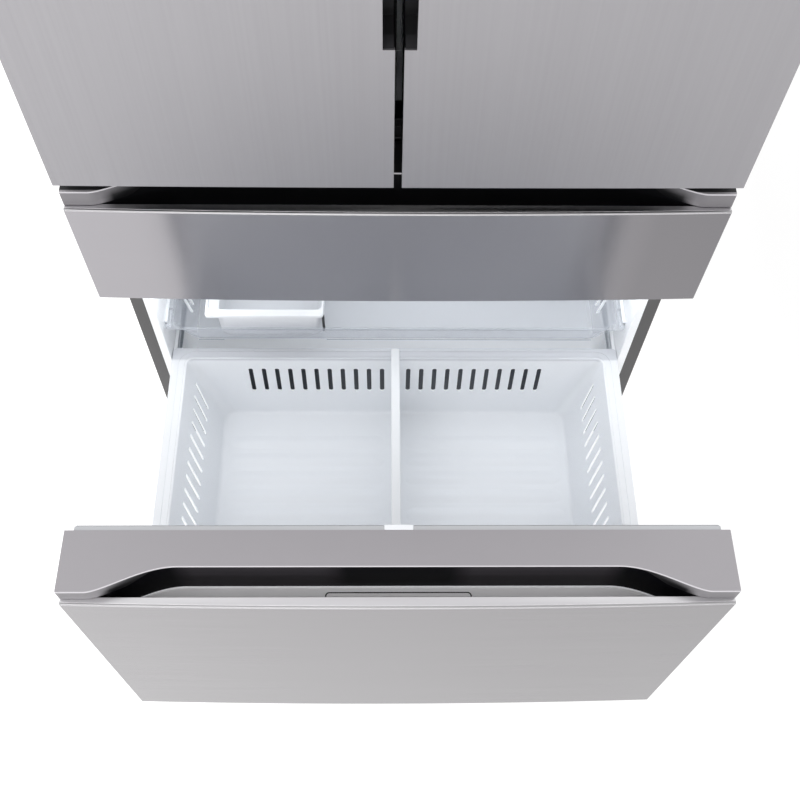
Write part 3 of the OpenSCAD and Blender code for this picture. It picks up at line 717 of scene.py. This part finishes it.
def pocket_plate():
    """Flat plate on the floor of the freezer grip pocket, with rounded rear corners, in a dark joint."""
    floor, half, front_r = LOW["cap"] - POCKET_H, 0.103, 0.0014
    y0, y1 = RIM_T + 0.001, POCKET_Y - 0.0068
    loops = []
    for i, h in ((0.0020, 0.0), (0.0020, 0.0022), (0.0026, 0.003), (0.0046, 0.003), (0.0052, 0.0026)):
        rear_r = 0.0055 - i * 0.5
        plan = rounded(-half + i, half - i, y0 + i, y1 - i, (front_r, front_r, rear_r, rear_r), 5)
        loops.append(at_z(plan, floor + h))
    bm = bmesh.new()
    loft(bm, loops)
    make_piece("pocket_plate", bm, "freezer_drawer", "plate_grey", ["pocket_cover"], pull=PULL)
    bm = bmesh.new()
    joint = rounded(-half, half, y0, y1, (front_r, front_r, 0.006, 0.006), 5)
    prism(bm, joint, floor - 0.0005, floor + 0.0007)
    make_piece("pocket_plate_joint", bm, "freezer_drawer", "pocket_black", ["pocket_cover"],
               pull=PULL)


pocket_plate()


# ------------------------------------------------------------------ lofted bins
WALL_T = 0.003              # wall of the moulded bins
BIN_RIM = (-0.388, 0.388, 0.121, 0.5765, 0.288)         # inside of the freezer bin: x0, x1, y0, y1, z
BIN_FLOOR = (-0.342, 0.342, 0.135, 0.5665, 0.100)
TRAY_RIM = (-0.400, 0.400, 0.1227, 0.5955, 0.372)       # inside of the tray
TRAY_FLOOR = (-0.374, 0.374, 0.135, 0.586, 0.314)


def grown(r, k):
    """A loop's plan sizes (x0, x1, y0, y1) grown outwards by k."""
    return r[0] - k, r[1] + k, r[2] - k, r[3] + k


def basin_loops(rim, floor, lip, r_top, r_low, fillet, beads=()):
    """Loops of a drafted basin. rim and floor: (x0, x1, y0, y1, z) inside sizes; lip: plan of the flange.
    beads: how far behind the inner edge a fine groove runs round the rim."""
    def mix(k):
        return [rim[i] * k + floor[i] * (1 - k) for i in range(5)]
    t, z = WALL_T, floor[4]
    span = rim[4] - z
    loops = [at_z(rounded(*grown(floor, -0.05), 0.01), z)]
    for inset, up in quarter(fillet):
        q = mix(up / span)
        loops.append(at_z(rounded(*grown(q, -inset), max(0.003, r_low - inset)), z + up))
    for k in (0.3, 0.6, 0.9):
        q = mix(k)
        loops.append(at_z(rounded(*q[:4], r_low + (r_top - r_low) * k), q[4]))
    z = rim[4]
    for inset, down in reversed(quarter(0.0025)):
        loops.append(at_z(rounded(*grown(rim, inset), r_top + inset), z - down))
    for g in beads:
        for out, down in ((g, 0.0), (g + 0.0003, 0.0009), (g + 0.0009, 0.0009), (g + 0.0012, 0.0)):
            loops.append(at_z(rounded(*grown(rim, out), r_top + out), z - down))
    # over the flange's outer edge and back under it, then down the outside of the wall
    for inset, down in quarter(0.0010):
        loops.append(at_z(rounded(*grown(lip, -inset), 0.008 - inset), z - down))
    loops.append(at_z(rounded(*lip, 0.008), z - t))
    loops.append(at_z(rounded(*grown(rim, t), r_top + t), z - t))
    for k in (0.6, 0.3):
        q = mix(k)
        loops.append(at_z(rounded(*grown(q, t), r_low + t + (r_top - r_low) * k), q[4]))
    z = floor[4]
    loops.append(at_z(rounded(*grown(floor, t * 0.6), r_low + t), z + 0.004))
    loops.append(at_z(rounded(*grown(floor, -t), r_low), z - t))
    return loops


def leaning_slot(bm, x0, x1, y, z, length, w, lean):
    """Rounded slot through a side wall, its top leaning back."""
    a = math.radians(lean)
    pts = [(y + p * math.cos(a) + q * math.sin(a), z - p * math.sin(a) + q * math.cos(a))
           for p, q in rounded(-w / 2, w / 2, -length / 2, length / 2, w / 2 - 0.0002, 6)]
    prism(bm, pts, x0, x1, "x")


def flat_ring(bm, outer, inner, r_outer, r_inner, z0, z1):
    """Upright band between two rounded plans."""
    ring(bm, [at_z(rounded(*q, r), z) for q, r, z in ((outer, r_outer, z1), (outer, r_outer, z0),
                                                      (inner, r_inner, z0), (inner, r_inner, z1))])


def bin_slots():
    """Cutter for the freezer bin's slots: upright in its back, leaning in its sides."""
    bm = bmesh.new()
    pitch, half, lean_pitch = 0.025, 0.00425, 0.0272
    for i in range(1, 12):
        for s in (-1, 1):
            x = s * i * pitch
            prism(bm, rounded(x - half, x + half, 0.178, 0.255, 0.0040), 0.552, 0.596, "y")
    for i in range(14):
        for a, b in ((-0.396, -0.345), (0.345, 0.396)):
            leaning_slot(bm, a, b, 0.5385 - i * lean_pitch, 0.212, length=0.067, w=0.0066, lean=16.5)
    return bm


def bin_floor_waves():
    """Soft waves across both halves of the floor; their edges run out below it."""
    x0, x1, y0, y1 = 0.018, 0.330, 0.166, 0.517
    pitch, height, base, below = 0.039, 0.0026, 0.0996, 0.0985
    xs = [x0 + (x1 - x0) * k / 16 for k in range(17)]
    bm = bmesh.new()
    for s in (-1, 1):
        rows = []
        for j in range(97):
            y = y0 + (y1 - y0) * j / 96
            wave = 0.5 - 0.5 * math.cos(2 * math.pi * (y - y0) / pitch)
            row = []
            for x in xs:
                side = smoothstep((x - x0) / 0.02) * smoothstep((x1 - x) / 0.03)
                row.append((s * x, y, base + height * wave * side))
            rows.append(row + [(s * xs[-1], y, below), (s * xs[0], y, below)])
        loft(bm, rows)
    make_piece("bin_floor_waves", bm, "freezer_drawer", "bin_white", ["freezer_bin"],
               sharp=60.0, pull=PULL)


def freezer_bin():
    """Deep bin with slots, a stiffening skirt under its flange and waves on its floor."""
    node, flange = ["freezer_bin"], (-0.4172, 0.4172, 0.100, 0.600)
    bm = bmesh.new()
    loft(bm, basin_loops(BIN_RIM, BIN_FLOOR, flange, r_top=0.011, r_low=0.024, fillet=0.006,
                         beads=(0.0038, 0.0150)))
    ob = make_piece("freezer_basin", bm, "freezer_drawer", "bin_white", node, pull=PULL)
    cut(ob, bin_slots(), PULL, "slot_white")
    bm = bmesh.new()
    flat_ring(bm, (-0.403, 0.403, 0.1002, 0.600), (-0.400, 0.400, 0.1032, 0.597), 0.006, 0.004, 0.274, 0.286)
    make_piece("basin_skirt", bm, "freezer_drawer", "bin_white", node, pull=PULL)
    bin_floor_waves()


def bin_divider():
    """Rail along the middle of the bin with a web down to its floor, and a clip on the drawer front."""
    top = 0.293
    bm = bmesh.new()
    loops = [at_z(rounded(-0.008 + i, 0.008 - i, 0.110 + i, 0.597 - i, max(0.001, 0.004 - i), 4), top - down)
             for i, down in ((0.0, 0.0048), (0.0, 0.0018), (0.0006, 0.0006), (0.002, 0.0))]
    loft(bm, loops)
    prism(bm, [(0.136, 0.1024), (0.5655, 0.1024), (0.5752, 0.2883), (0.1222, 0.2883)], -0.0015, 0.0015, "x")
    make_piece("divider_rail", bm, "freezer_drawer", "rail_white", ["bin_divider"], pull=PULL)
    bm = bmesh.new()
    prism(bm, rounded(-CLIP_HALF, CLIP_HALF, 0.0967, 0.1048, 0.0015, 3), 0.6162, 0.6203)
    make_piece("divider_clip", bm, "freezer_drawer", "bin_white", ["bin_divider"], 0.0008, 3,
               pull=PULL)


def tray_slots():
    """Cutter for the leaning slots in the tray's sides."""
    bm = bmesh.new()
    pitch = 0.017
    for i in range(23):
        for a, b in ((-0.404, -0.366), (0.366, 0.404)):
            leaning_slot(bm, a, b, 0.192 + i * pitch, 0.338, length=0.028, w=0.0045, lean=25.0)
    return bm


def tray():
    """Clear pull-out tray with slots in its sides and a small raised loop at each front corner."""
    node, flange = ["upper_tray"], (-0.4168, 0.4168, 0.118, 0.600)
    bm = bmesh.new()
    loft(bm, basin_loops(TRAY_RIM, TRAY_FLOOR, flange, r_top=0.016, r_low=0.016, fillet=0.005))
    ob = make_piece("tray_basin", bm, "freezer_tray", "tray_clear", node)
    cut(ob, tray_slots(), mat="slot_white")
    bm = bmesh.new()
    for s in (-1, 1):
        x0, x1 = sorted((s * 0.4040, s * 0.4166))
        outer = (x0, x1, 0.1205, 0.163)
        flat_ring(bm, outer, grown(outer, -0.003), 0.005, 0.003, 0.3731, 0.3716)
    make_piece("tray_hooks", bm, "freezer_tray", "tray_clear", node)
    # the clear wall looks darker where it is seen edge on: along its lip and its lower front corner
    thick, lip_y, low_y = 0.0009, 0.1172, 0.1330
    bm = bmesh.new()
    block(bm, -0.398, 0.398, lip_y, lip_y + thick, 0.3696, 0.3706)
    for x0, x1 in ((-0.366, -0.318), (-0.128, 0.366)):
        block(bm, x0, x1, low_y, low_y + thick, 0.3128, 0.3138)
    make_piece("tray_edges", bm, "freezer_tray", "edge_shade", node)


def ice_bin():
    """Deep white ice box that stands in the tray; its left side flares out at the top."""
    def box(x0, x1, y0, y1, r, z):
        return at_z(rounded(x0, x1, y0, y1, r), z)
    inside = [
        box(-0.280, -0.178, 0.187, 0.374, 0.010, 0.318),
        box(-0.312, -0.146, 0.155, 0.406, 0.008, 0.318),
        box(-0.320, -0.138, 0.147, 0.414, 0.014, 0.326),
        box(-0.320, -0.1353, 0.1435, 0.4155, 0.014, 0.387),
    ]
    rim = [
        box(-0.337, -0.1345, 0.1425, 0.416, 0.010, 0.3945),
        box(-0.338, -0.134, 0.142, 0.416, 0.010, 0.3988),
        box(-0.3388, -0.1332, 0.1412, 0.4168, 0.010, 0.400),
        box(-0.341, -0.131, 0.128, 0.4192, 0.006, 0.400),
        box(-0.342, -0.130, 0.127, 0.420, 0.006, 0.399),
        box(-0.342, -0.130, 0.127, 0.420, 0.006, 0.3942),
        box(-0.340, -0.1302, 0.1318, 0.4198, 0.010, 0.3936),
    ]
    outside = [
        box(-0.324, -0.1306, 0.1325, 0.4195, 0.016, 0.3845),
        box(-0.324, -0.1335, 0.140, 0.4182, 0.016, 0.326),
        box(-0.322, -0.136, 0.144, 0.416, 0.014, 0.3165),
        box(-0.316, -0.142, 0.150, 0.410, 0.010, 0.3143),
    ]
    bm = bmesh.new()
    loft(bm, inside + rim + outside)
    make_piece("ice_box", bm, "freezer_tray", "ice_white", ["ice_bin"])
    bm = bmesh.new()
    # painted shade: a dark buffer at the box's right front corner stands for the shadowed gap beside the box
    prism(bm, rounded(-0.1330, -0.1285, 0.1285, 0.1350, 0.001, 3), 0.350, 0.3930)
    make_piece("ice_box_gap_shade", bm, "freezer_tray", "frame_dark", ["ice_bin"])


def freezer_rails():
    """White rails that carry the freezer bin: on each side a cover, a web below it and the slide's member."""
    slide_z, top = 0.266, 0.2849
    bm = bmesh.new()
    for s in (-1, 1):
        for inner, outer, y0, y1, z0, z1 in ((0.4036, 0.4172, 0.108, 0.600, top - 0.0022, top),
                                             (0.404, 0.4065, 0.100, 0.600, slide_z + 0.007, top - 0.0020),
                                             (0.404, 0.412, 0.100, 0.560, slide_z - 0.010, slide_z + 0.010)):
            x0, x1 = sorted((s * inner, s * outer))
            block(bm, x0, x1, y0, y1, z0, z1)
    make_piece("freezer_rails", bm, "freezer_drawer", "rail_white", ["freezer_slide_rails"],
               0.0006, 2, pull=PULL)


freezer_bin()
bin_divider()
tray()
ice_bin()
freezer_rails()


# ------------------------------------------------------------------ CAD nodes that stay, with finer edges
NODE_SLOT = {s["node"]: s["material_slot"] for s in frame["record"]["subparts"]}
FINISH = {      # nodes whose look isn't named like their slot
    "freezer_liner": "liner_freezer", "left_door_gasket": "gasket_door", "right_door_gasket": "gasket_door",
    "drawer_slides_fixed": "rail_white",
}
BEVEL = 0.0008
BEVELS = {
    "left_door_skin": 0.0007, "right_door_skin": 0.0007, "freezer_liner": 0.0009, "fridge_liner": 0.0009,
    "mid_liner": 0.0009, "back_cover": 0.0004, "machine_cover": 0.0004,
}
UNBEVELLED = {"left_door_core", "right_door_core", "cabinet_foam", "evaporator", "condenser"}


def dress(node):
    """Gives a CAD node its material and, if it isn't in UNBEVELLED, finely rounded edges."""
    ob = frame["nodes"][node]
    ob.data.materials.clear()
    ob.data.materials.append(M[FINISH.get(node, NODE_SLOT[node])])
    if node not in UNBEVELLED:
        ob.modifiers.new("weld", "WELD").merge_threshold = 0.00002
        add_bevel(ob, BEVELS.get(node, BEVEL), 2)


for node in frame["nodes"]:
    if node not in REPLACED:
        dress(node)


# ------------------------------------------------------------------ floor, light
def floor_material():
    """Matt white that glows, more strongly on the left; the photograph's background is pure white."""
    nt, b = node_material("floor_white")
    nt.links.new(ramp(nt, noise(nt, mapped(nt), 1.5), [(0.3, 0.19), (0.7, 0.21)]), b.inputs["Base Color"])
    b.inputs["Roughness"].default_value = 0.9
    b.inputs["Emission Color"].default_value = (1, 1, 1, 1)
    level = map_range(nt, object_axes(nt)[0], -0.9, 0.9, 1.20, 0.80)
    nt.links.new(level, b.inputs["Emission Strength"])


def studio_floor():
    half, thick = 9, 0.02
    bm = bmesh.new()
    block(bm, -half, half, -half, half, -thick, 0.0)
    me = bpy.data.meshes.new("floor")
    bmesh.ops.recalc_face_normals(bm, faces=bm.faces)
    bm.to_mesh(me)
    bm.free()
    floor = bpy.data.objects.new("floor", me)
    scene.collection.objects.link(floor)
    floor_material()
    me.materials.append(M["floor_white"])


def white_world():
    world = bpy.data.worlds.new("studio")
    scene.world = world
    world.use_nodes = True
    bg = world.node_tree.nodes["Background"]
    bg.inputs[0].default_value = (1.0, 1.0, 1.0, 1)
    bg.inputs[1].default_value = 1.0


def area(name, loc, target, size, size_y, power, colour=(1, 1, 1)):
    """Rectangular lamp at loc that faces target."""
    d = bpy.data.lights.new(name, "AREA")
    d.shape = "RECTANGLE"
    d.size, d.size_y = size, size_y
    d.energy = power
    d.color = colour
    o = bpy.data.objects.new(name, d)
    scene.collection.objects.link(o)
    o.location = loc
    o.rotation_euler = (Vector(target) - Vector(loc)).to_track_quat("-Z", "Y").to_euler()


def lamps():
    """Two studio lamps in front, and three small ones under the middle drawer that light the freezer."""
    middle, cool = (0, -0.4, 0.5), (0.96, 0.98, 1.0)
    area("key", (-1.2, -2.6, 4.2), middle, 3.0, 2.0, 35)
    area("low_front", (0.0, -4.2, 1.7), middle, 4.0, 0.35, 36)
    area("freezer_light", (0.0, 0.12, 0.598), (0, 0.12, 0.0), 0.6, 0.36, 0.90, cool)
    for side in (-1, 1):
        area("liner_light", (side * 0.37, -0.088, 0.50), (side * 0.42, -0.088, 0.30), 0.08, 0.10, 0.11, cool)


studio_floor()
white_world()
lamps()
